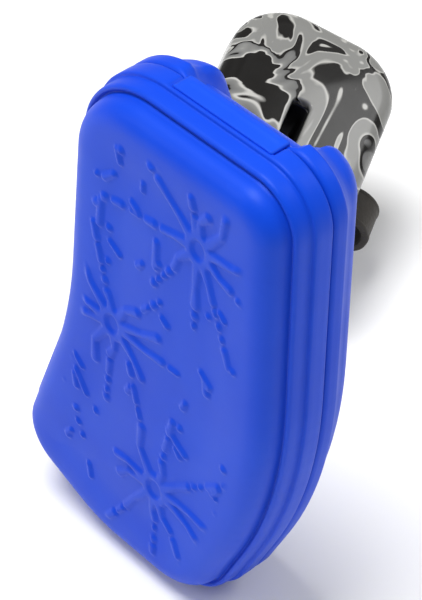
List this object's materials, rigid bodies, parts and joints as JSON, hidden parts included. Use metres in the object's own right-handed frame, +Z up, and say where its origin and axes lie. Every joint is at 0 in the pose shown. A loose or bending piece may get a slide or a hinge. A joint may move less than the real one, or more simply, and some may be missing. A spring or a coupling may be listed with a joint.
{
  "type": "lip-shield mouthguard with case",
  "caption": "Mouthguard with a lip shield and tether strap, lying behind its waisted two-shell carrying case, which opens on a film hinge.",
  "frame": {"origin": "middle of the case's flat foot, on the parting plane of its two shells", "axes": "+Z up the standing case, towards its hinge; -Y out of the case's front face; +X along the hinge"},
  "size_m": [0.1337, 0.1235, 0.13],
  "materials": {
    "case_moulding": "soft matte moulded, blue",
    "case_film": "thin moulded film, blue",
    "shield_print": "glossy, marbled grey, black and white print",
    "soft_black": "matte soft pad",
    "airway_plastic": "satin",
    "mouthpiece_rubber": "satin moulded",
    "liner_gel": "soft translucent-looking gel",
    "pad_grey": "matte",
    "strap_black": "matte moulded strap",
    "button_black": "satin"
  },
  "bodies": {
    "case_base": {"case_rear_shell": "case_moulding", "case_living_hinge": "case_film"},
    "case_lid": {"case_front_shell": "case_moulding"},
    "mouthpiece": {"airway_duct": "airway_plastic", "mouthpiece_tray": "mouthpiece_rubber", "fit_liner": "liner_gel", "bite_pad_left": "pad_grey", "bite_pad_right": "pad_grey"},
    "shield": {"lip_shield": "shield_print", "shield_pad": "soft_black", "airway_socket": "airway_plastic", "strap_anchor": "strap_black", "tether_strap": "strap_black", "strap_button": "button_black"}
  },
  "joints": [
    {"name": "lid_hinge", "type": "hinge", "parent": "case_base", "child": "case_lid", "pos_m": [0, 0, 0.13035], "axis": [-1, 0, 0], "range_deg": [0, 170], "deforming": ["case_living_hinge"]},
    {"name": "guard_lift", "type": "slide", "parent": "case_base", "child": "mouthpiece", "axis": [0, 0, 1], "range_m": [0, 0.08]},
    {"name": "shield_release", "type": "slide", "parent": "mouthpiece", "child": "shield", "axis": [0.4575, -0.0115, 0.8891], "range_m": [0, 0.014]}
  ]
}
